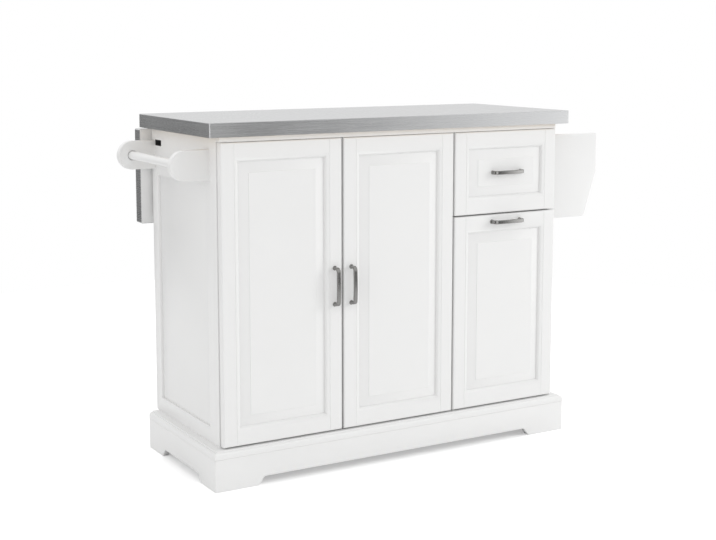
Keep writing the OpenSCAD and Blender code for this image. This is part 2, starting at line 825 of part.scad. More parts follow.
module bin_front_frame() {
    color(paint) placed() translate([right_x, front_y, door_z])
        front_frame(column_w, bin_h);
}
module bin_front_panel() {
    color(paint) placed() translate([right_x, front_y, door_z])
        front_panel(column_w, bin_h);
}
module bin_handle() {
    color(nickel) placed()
        translate([right_x + column_w / 2, front_y, door_z + bin_h - bin_handle_drop])
            handle();
}
module bin_tray_floor() {
    color(birch) placed()
        block(box_x + box_t, front_back_y, tray_z, box_w - 2 * box_t, box_d, box_t);
}
module bin_tray_sides() {
    color(birch) placed() for (x = [box_x, box_x + box_w - box_t])
        block(x, front_back_y, tray_z, box_t, box_d, tray_h);
}

// ---- towel rail -------------------------------------------------------------------

module bracket(y, seat_y) {
    round_x = -carcass_x - bracket_out + bracket_r;
    difference() {
        union() {
            rod_y(round_x, y, bracket_z, bracket_r, bracket_t);
            block(round_x, y, bracket_z - bracket_r, -carcass_x - round_x, bracket_t,
                  2 * bracket_r);
        }
        rod_y(round_x, seat_y, bracket_z, bar_r + fit, bar_seat + eps);
    }
}
module towel_bracket_front() {
    color(paint) placed()
        bracket(bracket_front_y, bracket_front_y + bracket_t - bar_seat);
}
module towel_bracket_rear() {
    color(paint) placed() bracket(bracket_rear_y, bracket_rear_y - eps);
}
module towel_bar() {
    start = bracket_front_y + bracket_t - bar_seat;
    color(paint) placed()
        rod_y(-carcass_x - bracket_out + bracket_r, start, bracket_z, bar_r,
              bracket_rear_y + bar_seat - start);
}

// ---- spice rack -------------------------------------------------------------------

// Distance of an end's outer edge from the side at height z
function rack_edge(z) = z > rack_upper_z ? rack_out : rack_out - (rack_upper_z - z) * rack_lean;

module rack_end(y) {
    translate([carcass_x, y + rack_end_t, 0]) rotate([90, 0, 0]) linear_extrude(rack_end_t)
        polygon([[0, rack_z], [rack_foot_out, rack_z], [rack_out, rack_upper_z],
                 [rack_out, rack_top], [0, rack_top]]);
}
module rack_front_end() { color(paint) placed() rack_end(carcass_y); }
module rack_rear_end() { color(paint) placed() rack_end(rack_back - rack_end_t); }

rack_inner_y = carcass_y + rack_end_t;
rack_inner_l = rack_back - rack_end_t - rack_inner_y;
rack_shelf_zs = [rack_z + 4, rack_upper_z + 4];
module rack_shelf(z) {
    block(carcass_x, rack_inner_y, z, rack_edge(z) - rack_rail_t, rack_inner_l, rack_shelf_t);
}
module rack_lower_shelf() { color(paint) placed() rack_shelf(rack_shelf_zs[0]); }
module rack_upper_shelf() { color(paint) placed() rack_shelf(rack_shelf_zs[1]); }

// One upright slat in front of each tier
module rack_rails() {
    color(paint) placed() for (z = rack_shelf_zs) {
        rail_z = z + rack_shelf_t + rack_rail_rise;
        block(carcass_x + rack_edge(rail_z) - rack_rail_t - 4, rack_inner_y, rail_z,
              rack_rail_t, rack_inner_l, rack_rail_h);
    }
}

worktop_core();
worktop_skin();
left_side_frame();
left_side_panel();
right_side_frame();
right_side_panel();
floor_panel();
divider();
back_panel();
top_front_rail();
top_rear_rail();
mid_rail();
shelf();
shelf_pins();
plinth_front();
plinth_left();
plinth_right();
plinth_back();
corner_blocks();
glides();
towel_bracket_front();
towel_bracket_rear();
towel_bar();
rack_front_end();
rack_rear_end();
rack_upper_shelf();
rack_lower_shelf();
rack_rails();
hinge_arms();
drawer_runners();
bin_runners();
leaf_hinge_plates();
strut_brackets();
left_door_frame();
left_door_panel();
left_door_handle();
left_door_cups();
right_door_frame();
right_door_panel();
right_door_handle();
right_door_cups();
drawer_front_frame();
drawer_front_panel();
drawer_handle();
drawer_sides();
drawer_ends();
drawer_bottom();
drawer_slides();
bin_front_frame();
bin_front_panel();
bin_handle();
bin_tray_floor();
bin_tray_sides();
bin_slides();
leaf_core();
leaf_skin();
leaf_hinge_flaps();
strut_catches();
left_strut();
right_strut();
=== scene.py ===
# %% [markdown]
# # A drop leaf kitchen island
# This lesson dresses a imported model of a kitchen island: a white cupboard with two doors, a
# drawer and a pull-out bin, a steel worktop with a leaf that hangs behind it, a towel rail on
# the left and a spice rack on the right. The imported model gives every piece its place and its
# size, so the lesson adds only shape detail, materials, lamps and a camera.

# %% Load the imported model
import json
import math

import bmesh
import bpy
from mathutils import Euler, Matrix, Vector


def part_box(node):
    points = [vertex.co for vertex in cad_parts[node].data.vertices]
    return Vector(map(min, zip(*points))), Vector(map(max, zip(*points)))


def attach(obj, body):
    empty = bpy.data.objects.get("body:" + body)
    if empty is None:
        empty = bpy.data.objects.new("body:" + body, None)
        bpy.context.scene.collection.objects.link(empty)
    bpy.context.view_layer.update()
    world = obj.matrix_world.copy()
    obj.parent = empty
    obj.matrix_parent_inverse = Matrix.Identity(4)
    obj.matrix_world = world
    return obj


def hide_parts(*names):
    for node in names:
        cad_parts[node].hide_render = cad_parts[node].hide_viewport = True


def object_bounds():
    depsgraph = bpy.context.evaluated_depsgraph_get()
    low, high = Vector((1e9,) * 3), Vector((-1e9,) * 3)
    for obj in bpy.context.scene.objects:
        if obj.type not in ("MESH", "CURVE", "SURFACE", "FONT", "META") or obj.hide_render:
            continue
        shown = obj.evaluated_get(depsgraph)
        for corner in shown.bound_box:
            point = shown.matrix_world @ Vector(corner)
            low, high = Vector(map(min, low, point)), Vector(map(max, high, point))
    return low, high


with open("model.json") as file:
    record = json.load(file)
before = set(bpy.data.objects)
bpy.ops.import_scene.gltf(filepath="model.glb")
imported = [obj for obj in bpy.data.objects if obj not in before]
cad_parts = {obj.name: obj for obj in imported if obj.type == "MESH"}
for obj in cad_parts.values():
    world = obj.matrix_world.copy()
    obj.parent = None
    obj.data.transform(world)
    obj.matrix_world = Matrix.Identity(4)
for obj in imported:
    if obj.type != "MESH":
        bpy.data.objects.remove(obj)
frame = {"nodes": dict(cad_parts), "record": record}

solid_low, solid_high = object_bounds()
print("solid model:", [round(v, 4) for v in (*solid_low, *solid_high)])

# %% [markdown]
# ## Where things are
# A furniture maker measures an island from its own edges, so sizes here are in millimetres from
# the worktop's middle (x), from its front edge (y) and from the floor (z). One helper turns them
# into the metres of the shared frame. The origin is read from the worktop, so nothing drifts.

# %% Maker's coordinates
top_low, top_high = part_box("worktop_skin")
MIDDLE = Vector(((top_low.x + top_high.x) / 2, top_low.y, 0))


def at(x, y, z):
    return MIDDLE + Vector((x, y, z)) / 1000


print("worktop", [round(v, 4) for v in top_high - top_low])

# %% [markdown]
# ## The camera
# The photograph looks at the left front corner from a little above. The focal length, place and
# turn below come from a fit to the straight edges of the worktop, doors and plinth. The upright
# edges in the photograph stay almost parallel, so the camera is tipped only part of the way
# down, and a shift of the picture does the rest.

# %% Camera
PICTURE = (716, 540)                    # pixels
FOCAL_PX = 1332.5                       # focal length in pixels
OPTICAL_X = 357.0                       # column that the lens looks straight at
SHIFT_PX = -60                          # lowers the frame, so the island sits higher in it
SENSOR = 36                             # mm
STAND = (-1.8701, -3.1558, 1.1177)      # where the camera stands, metres
TIP = math.radians(90 - 7.41)           # 7.41 degrees below level
TURN = -0.5286                          # radians, to the right
camera_data = bpy.data.cameras.new("camera")
camera = bpy.data.objects.new("camera", camera_data)
bpy.context.scene.collection.objects.link(camera)
camera_data.sensor_width = SENSOR
camera_data.lens = FOCAL_PX / PICTURE[0] * SENSOR
camera_data.shift_x = (PICTURE[0] / 2 - OPTICAL_X) / PICTURE[0]
camera_data.shift_y = SHIFT_PX / PICTURE[0]
camera_data.clip_end = 50
camera.location = STAND
camera.rotation_euler = Euler((TIP, 0, TURN))
bpy.context.scene.camera = camera
bpy.context.scene.view_settings.view_transform = "Standard"
print(f"lens {camera_data.lens:.1f} mm, shift {camera_data.shift_y:.3f}")

# %% [markdown]
# ## The room
# A studio shot like this has a white backdrop, a broad lamp on each side and one overhead. The
# world gives soft light from everywhere. Rays that come from the camera see plain white. Rays
# that were mirrored by metal see white overhead and cards low down: dark ones all round, a
# bright one to the right, which lightens the worktop's front edge towards its right end, and a
# small bright one behind the camera, which gives the edge's corner its glint.

# %% World
world = bpy.data.worlds.new("studio")
bpy.context.scene.world = world
world.use_nodes = True
tree = world.node_tree
tree.nodes.clear()


def add(tree, kind, **settings):
    """Adds a node and sets its properties and, by name, the values of its inputs."""
    node = tree.nodes.new(kind)
    for key, value in settings.items():
        if hasattr(node, key):
            setattr(node, key, value)
        else:
            node.inputs[key.replace("_", " ")].default_value = value
    return node


def wire(tree, *chain):
    """Links socket pairs given as (from node, output, to node, input)."""
    for a, out, b, into in chain:
        tree.links.new(a.outputs[out], b.inputs[into])


AMBIENT = 0.84                          # strength of the soft light from everywhere
BRIGHT_CARD = (0.87, -0.5, 0)           # direction of the card to the right
GLINT_CARD = (-0.42, -0.906, 0)         # direction of the card behind the camera
direction = add(tree, "ShaderNodeTexCoord")
towards = add(tree, "ShaderNodeVectorMath", operation="DOT_PRODUCT")
towards.inputs[1].default_value = BRIGHT_CARD
card = add(tree, "ShaderNodeMapRange", From_Min=0.87, From_Max=0.96, To_Min=0.22, To_Max=1.9)
behind = add(tree, "ShaderNodeVectorMath", operation="DOT_PRODUCT")
behind.inputs[1].default_value = GLINT_CARD
glint = add(tree, "ShaderNodeMapRange", From_Min=0.82, From_Max=0.93, To_Max=1.2)
cards = add(tree, "ShaderNodeMath", operation="ADD")
split = add(tree, "ShaderNodeSeparateXYZ")
height = add(tree, "ShaderNodeMapRange", From_Min=-0.06, From_Max=0.12)
mirrored = add(tree, "ShaderNodeMix", data_type="FLOAT")
wire(tree, (direction, "Generated", towards, 0), (towards, "Value", card, "Value"),
     (direction, "Generated", split, 0), (split, "Z", height, "Value"),
     (direction, "Generated", behind, 0), (behind, "Value", glint, "Value"),
     (card, 0, cards, 0), (glint, 0, cards, 1),
     (height, 0, mirrored, 0), (cards, 0, mirrored, 2))
mirrored.inputs[3].default_value = 1.0
path = add(tree, "ShaderNodeLightPath")
seen = add(tree, "ShaderNodeMath", operation="MAXIMUM")
is_glossy = add(tree, "ShaderNodeMix", data_type="FLOAT")
is_seen = add(tree, "ShaderNodeMix", data_type="FLOAT")
is_glossy.inputs[2].default_value = AMBIENT
is_seen.inputs[3].default_value = 1.0
background = add(tree, "ShaderNodeBackground", Color=(1, 1, 1, 1))
output = add(tree, "ShaderNodeOutputWorld")
wire(tree, (path, "Is Camera Ray", seen, 0), (path, "Is Transmission Ray", seen, 1),
     (path, "Is Glossy Ray", is_glossy, 0), (mirrored, 0, is_glossy, 3),
     (seen, 0, is_seen, 0), (is_glossy, 0, is_seen, 2),
     (is_seen, 0, background, "Strength"), (background, 0, output, 0))
print("world nodes:", len(tree.nodes))

# %% Lamps


def lamp(name, place, aim, size, power):
    data = bpy.data.lights.new(name, "AREA")
    data.shape, data.size, data.energy = "SQUARE", size, power
    obj = bpy.data.objects.new(name, data)
    bpy.context.scene.collection.objects.link(obj)
    obj.location = place
    obj.rotation_euler = (Vector(aim) - Vector(place)).to_track_quat("-Z", "Y").to_euler()
    return obj


CENTRE = (solid_low + solid_high) / 2
key = lamp("key_softbox", (5.2, -3.4, 2.4), CENTRE, 2.2, 98)
fill = lamp("fill_softbox", (-4.4, -1.2, 1.6), CENTRE, 2.6, 12)
top = lamp("top_softbox", (0.2, 0.4, 3.6), CENTRE, 2.2, 22)
key.visible_glossy = fill.visible_glossy = top.visible_glossy = False
print("lamps:", key.data.energy, fill.data.energy, top.data.energy)

# %% [markdown]
# ## The floor
# The floor is a plain disc. Under the lamps it is pale grey, and what the camera sees of it is
# lifted towards white, so that it melts into the backdrop while the soft shadow at the plinth
# stays.

# %% Floor
FLOOR_R = 2.6                           # metres
mesh = bpy.data.meshes.new("floor")
bm = bmesh.new()
bmesh.ops.create_circle(bm, cap_ends=True, segments=96, radius=FLOOR_R)
bm.to_mesh(mesh)
bm.free()
floor = bpy.data.objects.new("floor", mesh)
bpy.context.scene.collection.objects.link(floor)
floor_paint = bpy.data.materials.new("pale_floor")
floor_paint.use_nodes = True
tree = floor_paint.node_tree
tree.nodes.clear()
diffuse = add(tree, "ShaderNodeBsdfDiffuse", Color=(0.9, 0.9, 0.9, 1))
glow = add(tree, "ShaderNodeEmission", Strength=0.36)
dark = add(tree, "ShaderNodeEmission", Strength=0.0)
path = add(tree, "ShaderNodeLightPath")
lift = add(tree, "ShaderNodeMixShader")
both = add(tree, "ShaderNodeAddShader")
output = add(tree, "ShaderNodeOutputMaterial")
wire(tree, (path, "Is Camera Ray", lift, 0), (dark, 0, lift, 1), (glow, 0, lift, 2),
     (diffuse, 0, both, 0), (lift, 0, both, 1), (both, 0, output, 0))
floor.data.materials.append(floor_paint)

# %% [markdown]
# ## Surface effects as node groups
# The same small effects turn up in several finishes: the faint skin of a sprayed paint, the fine
# lines of brushed metal and the grain of wood. Each is one node group with its own inputs, so a
# finish only sets numbers. The groups put out colours, roughness and heights, and the shader
# itself stays in each material.

# %% Group helpers


def group(name, inputs, outputs):
    tree = bpy.data.node_groups.new(name, "ShaderNodeTree")
    for label, kind, value in inputs:
        socket = tree.interface.new_socket(label, in_out="INPUT", socket_type=kind)
        socket.default_value = value
    for label, kind in outputs:
        tree.interface.new_socket(label, in_out="OUTPUT", socket_type=kind)
    return tree, tree.nodes.new("NodeGroupInput"), tree.nodes.new("NodeGroupOutput")


FLOAT, COLOUR, VECTOR = "NodeSocketFloat", "NodeSocketColor", "NodeSocketVector"

# %% Sprayed paint
tree, given, result = group(
    "sprayed_skin",
    [("Colour", COLOUR, (0.86, 0.86, 0.855, 1)), ("Mottle", FLOAT, 0.02),
     ("Roughness", FLOAT, 0.36)],
    [("Colour", COLOUR), ("Roughness", FLOAT), ("Height", FLOAT)])
place = add(tree, "ShaderNodeTexCoord")
clouds = add(tree, "ShaderNodeTexNoise", Scale=7.0, Detail=3.0)
peel = add(tree, "ShaderNodeTexNoise", Scale=420.0, Detail=2.0)
haze = add(tree, "ShaderNodeTexNoise", Scale=38.0, Detail=4.0)
shade = add(tree, "ShaderNodeMapRange", To_Max=1.0)
floor_level = add(tree, "ShaderNodeMath", operation="SUBTRACT")
floor_level.inputs[0].default_value = 1.0
tint = add(tree, "ShaderNodeMix", data_type="RGBA", blend_type="MULTIPLY")
tint.inputs[0].default_value = 1.0
rough = add(tree, "ShaderNodeMapRange", From_Min=0.3, From_Max=0.7, To_Min=-0.04, To_Max=0.05)
sum_rough = add(tree, "ShaderNodeMath", operation="ADD")
mix_height = add(tree, "ShaderNodeMath", operation="ADD")
wire(tree, (place, "Object", clouds, "Vector"), (place, "Object", peel, "Vector"),
     (place, "Object", haze, "Vector"), (given, "Mottle", floor_level, 1),
     (clouds, "Fac", shade, "Value"), (floor_level, 0, shade, "To Min"),
     (given, "Colour", tint, 6), (shade, 0, tint, 7), (tint, 2, result, "Colour"),
     (haze, "Fac", rough, "Value"), (rough, 0, sum_rough, 0),
     (given, "Roughness", sum_rough, 1), (sum_rough, 0, result, "Roughness"),
     (peel, "Fac", mix_height, 0), (haze, "Fac", mix_height, 1),
     (mix_height, 0, result, "Height"))
SPRAYED = tree

# %% Brushed metal
tree, given, result = group(
    "brushed_lines",
    [("Colour", COLOUR, (0.60, 0.605, 0.61, 1)), ("Stretch", VECTOR, (6, 900, 900)),
     ("Contrast", FLOAT, 0.1), ("Roughness", FLOAT, 0.3)],
    [("Colour", COLOUR), ("Roughness", FLOAT), ("Height", FLOAT)])
place = add(tree, "ShaderNodeTexCoord")
scaled = add(tree, "ShaderNodeVectorMath", operation="MULTIPLY")
lines = add(tree, "ShaderNodeTexNoise", Scale=1.0, Detail=5.0, Roughness=0.7)
clouds = add(tree, "ShaderNodeTexNoise", Scale=5.0, Detail=3.0)
low = add(tree, "ShaderNodeMath", operation="SUBTRACT")
low.inputs[0].default_value = 1.0
line_shade = add(tree, "ShaderNodeMapRange", From_Min=0.3, From_Max=0.7, To_Max=1.0)
tint = add(tree, "ShaderNodeMix", data_type="RGBA", blend_type="MULTIPLY")
tint.inputs[0].default_value = 1.0
line_rough = add(tree, "ShaderNodeMapRange", From_Min=0.3, From_Max=0.7, To_Min=-0.05,
                 To_Max=0.08)
cloud_rough = add(tree, "ShaderNodeMapRange", From_Min=0.3, From_Max=0.7, To_Min=-0.03,
                  To_Max=0.03)
first = add(tree, "ShaderNodeMath", operation="ADD")
second = add(tree, "ShaderNodeMath", operation="ADD")
wire(tree, (place, "Object", scaled, 0), (given, "Stretch", scaled, 1),
     (scaled, 0, lines, "Vector"), (place, "Object", clouds, "Vector"),
     (given, "Contrast", low, 1), (lines, "Fac", line_shade, "Value"),
     (low, 0, line_shade, "To Min"), (given, "Colour", tint, 6), (line_shade, 0, tint, 7),
     (tint, 2, result, "Colour"), (lines, "Fac", line_rough, "Value"),
     (clouds, "Fac", cloud_rough, "Value"), (line_rough, 0, first, 0),
     (cloud_rough, 0, first, 1), (first, 0, second, 0), (given, "Roughness", second, 1),
     (second, 0, result, "Roughness"), (lines, "Fac", result, "Height"))
BRUSHED = tree

# %% Wood grain
tree, given, result = group(
    "wood_grain",
    [("Light", COLOUR, (0.78, 0.64, 0.46, 1)), ("Dark", COLOUR, (0.62, 0.47, 0.31, 1)),
     ("Stretch", VECTOR, (2.5, 22, 22)), ("Roughness", FLOAT, 0.5)],
    [("Colour", COLOUR), ("Roughness", FLOAT), ("Height", FLOAT)])
place = add(tree, "ShaderNodeTexCoord")
scaled = add(tree, "ShaderNodeVectorMath", operation="MULTIPLY")
figure = add(tree, "ShaderNodeTexNoise", Scale=1.0, Detail=6.0, Distortion=1.2)
fine = add(tree, "ShaderNodeTexNoise", Scale=9.0, Detail=4.0)
blend = add(tree, "ShaderNodeMix", data_type="FLOAT")
blend.inputs[0].default_value = 0.35
ramp = add(tree, "ShaderNodeMapRange", From_Min=0.36, From_Max=0.64)
tint = add(tree, "ShaderNodeMix", data_type="RGBA")
rough = add(tree, "ShaderNodeMapRange", From_Min=0.3, From_Max=0.7, To_Min=-0.05, To_Max=0.06)
total = add(tree, "ShaderNodeMath", operation="ADD")
wire(tree, (place, "Object", scaled, 0), (given, "Stretch", scaled, 1),
     (scaled, 0, figure, "Vector"), (scaled, 0, fine, "Vector"), (figure, "Fac", blend, 2),
     (fine, "Fac", blend, 3), (blend, 0, ramp, "Value"), (ramp, 0, tint, 0),
     (given, "Light", tint, 6), (given, "Dark", tint, 7), (tint, 2, result, "Colour"),
     (fine, "Fac", rough, "Value"), (rough, 0, total, 0), (given, "Roughness", total, 1),
     (total, 0, result, "Roughness"), (blend, 0, result, "Height"))
GRAIN = tree
print("groups:", [g.name for g in bpy.data.node_groups])

# %% [markdown]
# ## Finishes
# Each finish is a Principled shader fed by one of the groups. Numbers that don't change over the
# surface, such as the metallic value, are set on the shader's own sockets.

# %% Finish helper


def finish(name, effect, bump, distance, values=(), **settings):
    material = bpy.data.materials.new(name)
    material.use_nodes = True
    tree = material.node_tree
    shader = tree.nodes["Principled BSDF"]
    surface = tree.nodes.new("ShaderNodeGroup")
    surface.node_tree = effect
    for label, value in dict(values).items():
        surface.inputs[label].default_value = value
    relief = add(tree, "ShaderNodeBump", Strength=bump, Distance=distance)
    wire(tree, (surface, "Colour", shader, "Base Color"),
         (surface, "Roughness", shader, "Roughness"), (surface, "Height", relief, "Height"),
         (relief, 0, shader, "Normal"))
    for label, value in settings.items():
        shader.inputs[label.replace("_", " ")].default_value = value
    return material


WHITE_PAINT = finish("white_paint", SPRAYED, 0.12, 0.0002)
STEEL = finish("brushed_steel_sheet", BRUSHED, 0.10, 0.0002,
               {"Stretch": (5, 1100, 1100), "Contrast": 0.07, "Roughness": 0.25},
               Metallic=1.0)
STEEL_END = finish("brushed_steel_end", BRUSHED, 0.10, 0.0002,
                   {"Stretch": (1100, 5, 1100), "Contrast": 0.02, "Roughness": 0.25},
                   Metallic=1.0)
NICKEL = finish("satin_nickel", BRUSHED, 0.05, 0.0001,
                {"Colour": (0.3, 0.297, 0.29, 1), "Stretch": (260, 260, 260),
                 "Contrast": 0.05, "Roughness": 0.17}, Metallic=1.0)
ZINC = finish("zinc_plate", BRUSHED, 0.06, 0.0001,
              {"Colour": (0.62, 0.63, 0.65, 1), "Stretch": (160, 40, 160),
               "Contrast": 0.1, "Roughness": 0.34}, Metallic=1.0)
BIRCH = finish("lacquered_birch", GRAIN, 0.15, 0.0003)
RUBBER = finish("black_rubber", SPRAYED, 0.25, 0.0003,
                {"Colour": (0.045, 0.045, 0.047, 1), "Roughness": 0.75})
print("finishes:", len(bpy.data.materials))

# %% [markdown]
# ## Boards and plates that are already right
# Most hidden boards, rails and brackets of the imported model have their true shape. Real ones
# have slightly rounded edges, which catch the light. A Weld modifier joins the loose triangles,
# and a Bevel modifier rounds each sharp edge by a named radius. Only the shading of the mesh is
# changed, and its points stay where they are.

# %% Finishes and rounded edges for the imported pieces
SLOT_FINISH = {"white_paint": WHITE_PAINT, "steel": STEEL, "nickel": NICKEL, "zinc": ZINC,
               "birch": BIRCH, "rubber": RUBBER}
EDGE_RADIUS = {"white_paint": 0.0010, "birch": 0.0008, "steel": 0.0004, "nickel": 0.0004,
               "zinc": 0.0003, "rubber": 0.0006}
RACK_ENDS = ("rack_front_end", "rack_rear_end")
RACK_RADIUS = 0.0025                    # the rack's ends are more rounded, metres
JOIN = 0.00002                          # triangles this close are one surface, metres


def round_edges(obj, radius):
    """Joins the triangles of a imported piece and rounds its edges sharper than 30 degrees."""
    weld = obj.modifiers.new("join_triangles", "WELD")
    weld.merge_threshold = JOIN
    bevel = obj.modifiers.new("rounded_edges", "BEVEL")
    bevel.width, bevel.segments = radius, 3
    bevel.limit_method, bevel.angle_limit = "ANGLE", math.radians(30)
    bevel.harden_normals = True


for part in frame["record"]["subparts"]:
    node = frame["nodes"][part["node"]]
    slot = part["material_slot"]
    node.data.materials.clear()
    node.data.materials.append(SLOT_FINISH[slot])
    node.data.shade_smooth()
    round_edges(node, RACK_RADIUS if part["node"] in RACK_ENDS else EDGE_RADIUS[slot])
print("packed pieces dressed:", len(frame["nodes"]))

# %% [markdown]
# ## Making a piece
# New pieces start as a bmesh that operators shape. One helper then gives every piece the same
# treatment: seams are merged, faces turned outwards, gentle edges shaded smooth and sharp ones
# left crisp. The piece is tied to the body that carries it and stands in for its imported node.

# %% Piece helpers
TOUCHING = 1e-6         # points this close are one point, metres
HAIR = 0.001            # a step too narrow to see, which turns an inset into a wall, mm


def piece(name, bm, material, body, *nodes, smooth=35):
    """Makes the object, ties it to its body and lets it stand in for the nodes named."""
    bmesh.ops.remove_doubles(bm, verts=bm.verts, dist=TOUCHING)
    bmesh.ops.recalc_face_normals(bm, faces=bm.faces)
    for face in bm.faces:
        face.smooth = True
    for edge in bm.edges:
        edge.smooth = (len(edge.link_faces) == 2
                       and edge.calc_face_angle(0) < math.radians(smooth))
    mesh = bpy.data.meshes.new(name)
    bm.to_mesh(mesh)
    bm.free()
    mesh.materials.append(material)
    obj = bpy.data.objects.new(name, mesh)
    bpy.context.scene.collection.objects.link(obj)
    even = obj.modifiers.new("flat_faces_stay_flat", "WEIGHTED_NORMAL")
    even.keep_sharp = True
    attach(obj, body)
    if nodes:
        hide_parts(*nodes)
    return obj


def box_between(bm, low, high):
    """Adds a box between two corners and returns its vertices."""
    place = Matrix.Translation((low + high) / 2) @ Matrix.Diagonal((*(high - low), 1))
    return bmesh.ops.create_cube(bm, size=1, matrix=place)["verts"]


def face_towards(bm, x, y, z):
    """The largest face that looks along a direction."""
    way = Vector((x, y, z))
    return max((f for f in bm.faces if f.normal.dot(way) > 0.99), key=lambda f: f.calc_area())


def bevel_edges(bm, edges, width, segments=3):
    """Rounds edges; the width is in the unit that the mesh is drawn in."""
    bmesh.ops.bevel(bm, geom=list(edges), offset=width, offset_type="OFFSET",
                    segments=segments, profile=0.5, affect="EDGES", material=-1)


def step_in(bm, face, steps):
    """Insets a face again and again; each step is (width inwards, height outwards) in mm."""
    for width, rise in steps:
        bmesh.ops.inset_region(bm, faces=[face], thickness=width / 1000, depth=rise / 1000,
                               use_boundary=True, use_even_offset=True)


def verts_of(geom):
    return [g for g in geom if isinstance(g, bmesh.types.BMVert)]


def fill_ring(bm, geom):
    """Closes the ring of new edges that extruding a loop leaves."""
    verts = verts_of(geom)
    bmesh.ops.contextual_create(bm, geom=[g for g in geom if isinstance(g, bmesh.types.BMEdge)
                                          and all(v in verts for v in g.verts)])


# %% [markdown]
# ## Framed fronts
# Each front is a frame of two stiles and two rails round a raised panel. The frame's outer edge
# is softly rounded. Its inner edge has a moulding that drops in a quarter round to the panel,
# and hairline grooves show where the rails meet the stiles. Insetting the front face of a box
# step by step makes all of it, because each inset carries the profile round all four sides with
# clean mitres.

# %% Frame profile
ROUNDING = 3.6          # radius of a front's outer edge, mm like the sizes below
STILE_FLAT = 37.0       # flat of a stile or rail, with the rounding
MOULDING = 11.0         # width of the moulding, all its steps together
QUIRK = [(0.9, -0.6), (0.5, 0)]         # small step down that starts the moulding
COVE_WIDE, COVE_DEEP = 7.6, 4.6         # its quarter round
COVE_FOOT = [(1.2, -0.3), (0.8, -2.0)]  # its last steps down to the panel
BACK_EDGE = 1.0         # radius of a front's rear edge
GROOVE_HALF = 0.8       # half the width of a hairline groove
GROOVE_DEEP = 0.0009    # its depth, metres
GROOVE_IN = 0.0012      # from the moulding to the groove's middle, metres


def quarter_round(width, drop, count):
    """Steps that start level and end steep, dropping in a quarter ellipse."""
    at_angle = [math.radians(90 * i / count) for i in range(count + 1)]
    points = [(width * math.sin(a), -drop * (1 - math.cos(a))) for a in at_angle]
    return [(b[0] - a[0], b[1] - a[1]) for a, b in zip(points, points[1:])]


frame_steps = [(STILE_FLAT - ROUNDING, 0), *QUIRK, *quarter_round(COVE_WIDE, COVE_DEEP, 6),
               *COVE_FOOT]
print("moulding", round(sum(w for w, _ in frame_steps[1:]), 2), "mm wide,",
      round(-sum(d for _, d in frame_steps), 2), "mm deep")

# %% Frames


def groove(bm, x, y, opening):
    """Cuts a hairline groove down the front face y at x, above and below the opening."""
    for side in (-GROOVE_HALF, 0, GROOVE_HALF):
        everything = bm.verts[:] + bm.edges[:] + bm.faces[:]
        bmesh.ops.bisect_plane(bm, geom=everything, dist=1e-7,
                               plane_co=(x + side / 1000, 0, 0), plane_no=(1, 0, 0))
    deep = [v for v in bm.verts if abs(v.co.x - x) < 1e-5 and abs(v.co.y - y) < 1e-5
            and not opening[0] < v.co.z < opening[1]]
    bmesh.ops.translate(bm, verts=deep, vec=(0, GROOVE_DEEP, 0))


def framed_front(node, body):
    low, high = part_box(node)
    bm = bmesh.new()
    box_between(bm, low, high)
    bevel_edges(bm, face_towards(bm, 0, -1, 0).edges, ROUNDING / 1000, 5)
    bevel_edges(bm, face_towards(bm, 0, 1, 0).edges, BACK_EDGE / 1000, 2)
    front = face_towards(bm, 0, -1, 0)
    step_in(bm, front, frame_steps)
    wall = (high.y - low.y) * 1000 + sum(rise for _, rise in frame_steps)
    step_in(bm, front, [(HAIR, -wall)])
    back = face_towards(bm, 0, 1, 0)
    step_in(bm, back, [(STILE_FLAT + MOULDING - BACK_EDGE, 0)])
    bmesh.ops.delete(bm, geom=[front, back], context="FACES_ONLY")
    bmesh.ops.remove_doubles(bm, verts=bm.verts, dist=0.00005)
    inside = STILE_FLAT / 1000
    for x in (low.x + inside - GROOVE_IN, high.x - inside + GROOVE_IN):
        groove(bm, x, low.y, (low.z + inside, high.z - inside))
    return piece(node + "_moulded", bm, WHITE_PAINT, body, node)


FRONTS = {"left_door": "left_door", "right_door": "right_door", "drawer_front": "drawer",
          "bin_front": "bin"}
for front_name, body in FRONTS.items():
    made = framed_front(front_name + "_frame", body)
    print(made.name, len(made.data.polygons), "faces")

# %% [markdown]
# ## Raised panels
# A raised panel is thin at its edge, where it sits in the frame's groove, and swells to a flat
# field in the middle. The bevel between them is a straight slope that ends in a small rounded
# shoulder. It is made with the same stepped insets, this time upwards, which also mitres the
# corners.

# %% Panels
PANEL_EDGE = 9.0        # depth of a panel's edge behind the frame's face
TONGUE = 5.0            # depth of its edge in the groove
FIELD_RISE = 8.4        # height of the field over the edge
BEVEL = 28.0            # width of the bevel with its set-in and shoulder
SET_IN = 0.8            # from the frame's opening to the bevel's foot
SHOULDER = [(0.5, 0.7), (0.5, 0.35), (0.5, 0.1)]


def raised_panel(node, frame_node, body):
    low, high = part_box(node)
    low.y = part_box(frame_node)[0].y + PANEL_EDGE / 1000
    bm = bmesh.new()
    box_between(bm, low, high)
    front = face_towards(bm, 0, -1, 0)
    slope = (BEVEL - SET_IN - sum(width for width, _ in SHOULDER),
             FIELD_RISE - sum(rise for _, rise in SHOULDER))
    step_in(bm, front, [(TONGUE + SET_IN, 0), slope, *SHOULDER])
    return piece(node + "_raised", bm, WHITE_PAINT, body, node, smooth=25)


for front_name, body in FRONTS.items():
    raised_panel(front_name + "_panel", front_name + "_frame", body)

# %% [markdown]
# ## Bow handles
# The pulls are satin metal: a flat bar with softened edges on two feet, its ends bent back to
# the door in tight curves. The bar's section is drawn once and extruded along its path: straight
# out from the door, turned a little at a time round each bend, and bowed slightly in between.
# Each foot stands in a round collar.

